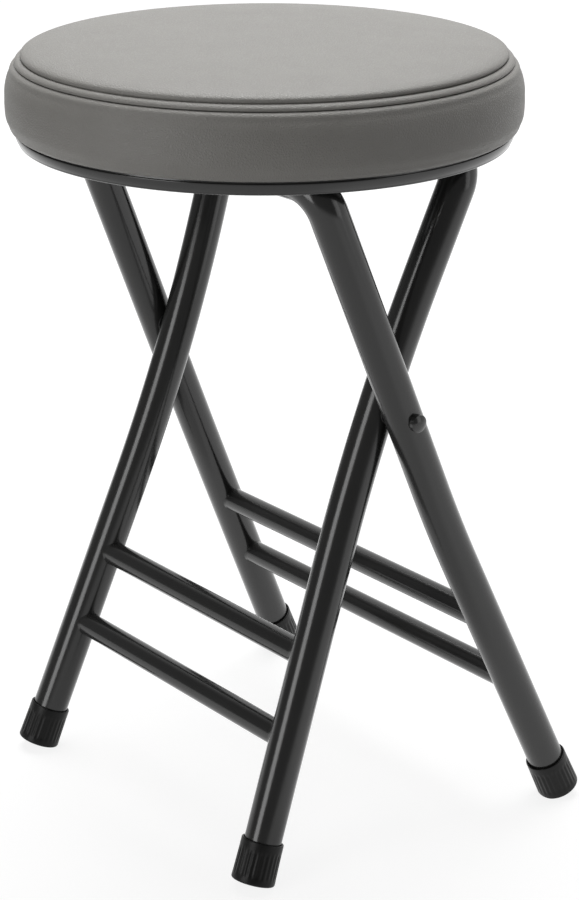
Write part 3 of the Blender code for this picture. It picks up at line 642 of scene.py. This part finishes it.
# Piping
# A thin cord wrapped in the same vinyl is sewn into the seam between panel and band. It is
# pulled a little flat and stands less than half out of the seam all round.
WELT_W, WELT_H, WELT_SUNK = 0.0026, 0.0014, 0.0009      # half sizes, and depth of its middle
WELT_TURN = math.radians(22)            # its flat face looks up a little more than the shoulder
WELT_RINGS, WELT_SIDES = 288, 32
lap = np.linspace(0, 2 * math.pi, WELT_RINGS, endpoint=False)
path = np.stack([CORD_R * np.cos(lap), CORD_R * np.sin(lap), CORD_Z + 0 * lap], -1)
tangent = np.stack([-np.sin(lap), np.cos(lap), 0 * lap], -1)
outward = np.cross(tangent, (0.0, 0.0, 1.0))
c, s = math.cos(WELT_TURN), math.sin(WELT_TURN)
oval = ring(1.0, WELT_SIDES) * (WELT_W, WELT_H) @ np.array([[c, -s], [s, c]])
section = (oval - (0, WELT_SUNK)) @ SHOULDER
grid = path[:, None] + section[:, :1] * outward[:, None]
grid[..., 2] += section[:, 1]
piping = skin("vinyl_piping", grid, vinyl, closed=True)
dress(piping, "seat", "grey_vinyl", "seat_piping")

# Floor and light
# A plain grey studio floor that glows with painted light: white to the camera, a little
# weaker under the stool as painted shade, and in glossy rays dim on the camera's side and
# bright towards the white half as a painted reflection. A wide soft light overhead, a tall
# soft light to the left and a weaker one to the right. The room is dim on the camera's side,
# which keeps the tubes black.
FLOOR_R, FLOOR_SIDES = 9.0, 96
BRIGHT_SIDE = (-0.207, 0.972, 0.0)      # the white half of the room lies behind and to the right
FAR_ROOM = (-0.1, 0.6, 0.20, 1.0)       # what glossy pieces mirror: start and end of the turn
NEAR_FLOOR = (-0.5, -0.05, 0.8, 1.1)    # from dim to bright, and the dim and bright strength
NEAR_END, FAR_START = 1.2, 2.4          # distances where the near floor ends and the room starts
SHADED, SHADED_END, PLAIN_START = 0.86, 0.4, 1.5    # the floor's glow under the stool, and its reach
AMBIENT = 0.09                          # the room's light on all that isn't mirrored
rim = ring(FLOOR_R, FLOOR_SIDES)
floor = put_mesh("studio_floor", np.concatenate([rim, 0 * rim[:, :1]], -1),
                 [list(range(FLOOR_SIDES))], None)
# The floor itself is mid grey; its white look is painted glow.
white, tree, shader, where = new_finish("grey_floor_painted_glow", 0.9)


def room_light(tree, direction, start, end, dim, bright):
    """What a glossy piece mirrors in a direction: dim, and bright towards the white half."""
    towards = add_node(tree, "ShaderNodeVectorMath", {0: direction, 1: BRIGHT_SIDE},
                       operation='DOT_PRODUCT')
    room = add_node(tree, "ShaderNodeMapRange",
                    {"Value": towards.outputs["Value"], "From Min": start, "From Max": end,
                     "To Min": dim, "To Max": bright}, interpolation_type='SMOOTHSTEP')
    return room.outputs["Result"]


path_of_ray = add_node(tree, "ShaderNodeLightPath", {})
distance = add_node(tree, "ShaderNodeVectorMath", {0: where}, operation='LENGTH')
heading = add_node(tree, "ShaderNodeVectorMath", {0: where}, operation='NORMALIZE')
# Painted reflection: in glossy rays the floor glows, dim on the camera's side and bright towards the
# white half, near the stool and far from it.
far_floor = room_light(tree, heading.outputs["Vector"], *FAR_ROOM)
near_floor = room_light(tree, heading.outputs["Vector"], *NEAR_FLOOR)
mirrored = add_node(tree, "ShaderNodeMapRange",
                    {"Value": distance.outputs["Value"], "From Min": NEAR_END, "From Max": FAR_START,
                     "To Min": near_floor, "To Max": far_floor})
in_gloss = add_node(tree, "ShaderNodeMath",
                    {0: path_of_ray.outputs["Is Glossy Ray"], 1: mirrored.outputs["Result"]},
                    operation='MULTIPLY')
# Painted light: to the camera the floor glows, weaker under the stool as painted shade.
seen = add_node(tree, "ShaderNodeMapRange",
                {"Value": distance.outputs["Value"], "From Min": SHADED_END, "From Max": PLAIN_START,
                 "To Min": SHADED, "To Max": 1.0})
glow = add_node(tree, "ShaderNodeMath",
                {0: path_of_ray.outputs["Is Camera Ray"], 1: seen.outputs["Result"],
                 2: in_gloss.outputs["Value"]}, operation='MULTIPLY_ADD')
shader.inputs["Base Color"].default_value = linear("#848484")
shader.inputs["Specular IOR Level"].default_value = 0.0
shader.inputs["Emission Color"].default_value = (1, 1, 1, 1)
tree.links.new(glow.outputs["Value"], shader.inputs["Emission Strength"])
floor.data.materials[0] = white

world = bpy.data.worlds.new("studio")
bpy.context.scene.world = world
world.use_nodes = True
tree = world.node_tree
tree.nodes.clear()
path_of_ray = add_node(tree, "ShaderNodeLightPath", {})
heading = add_node(tree, "ShaderNodeTexCoord", {})
mirrored = add_node(tree, "ShaderNodeBackground",
                    {"Strength": room_light(tree, heading.outputs["Generated"], *FAR_ROOM)})
ambient = add_node(tree, "ShaderNodeBackground", {"Strength": AMBIENT})
backdrop = add_node(tree, "ShaderNodeBackground", {"Strength": 1.0})
for shade in (mirrored, ambient, backdrop):
    shade.inputs["Color"].default_value = (1, 1, 1, 1)
unseen = add_node(tree, "ShaderNodeMixShader", {0: path_of_ray.outputs["Is Glossy Ray"],
                                                1: ambient.outputs[0], 2: mirrored.outputs[0]})
clear = add_node(tree, "ShaderNodeMath",
                 {0: path_of_ray.outputs["Is Camera Ray"], 1: path_of_ray.outputs["Is Transmission Ray"]},
                 operation='MAXIMUM')
mixed = add_node(tree, "ShaderNodeMixShader", {0: clear.outputs["Value"], 1: unseen.outputs[0],
                                               2: backdrop.outputs[0]})
add_node(tree, "ShaderNodeOutputWorld", {"Surface": mixed.outputs[0]})


def soft_light(name, place, aim, width, height, power):
    """A rectangular area lamp that faces a point."""
    lamp = bpy.data.lights.new(name, 'AREA')
    lamp.shape = 'RECTANGLE'
    lamp.size, lamp.size_y, lamp.energy = width, height, power
    stand = bpy.data.objects.new(name, lamp)
    stand.location = place
    toward = unit(np.array(aim) - np.array(place))
    stand.rotation_euler = (math.acos(-toward[2]), 0.0, math.atan2(-toward[0], toward[1]))
    bpy.context.scene.collection.objects.link(stand)


soft_light("overhead", (-0.50, 0.42, 2.25), (0, 0, 0.45), 1.6, 1.6, 47.0)
soft_light("left_strip", (0.12, -2.0, 0.50), (0, 0, 0.3), 0.85, 1.2, 14.0)
soft_light("right_soft", (1.95, 0.90, 0.60), (0, 0, 0.3), 0.9, 1.4, 4.5)
bpy.context.scene.view_settings.view_transform = 'Standard'
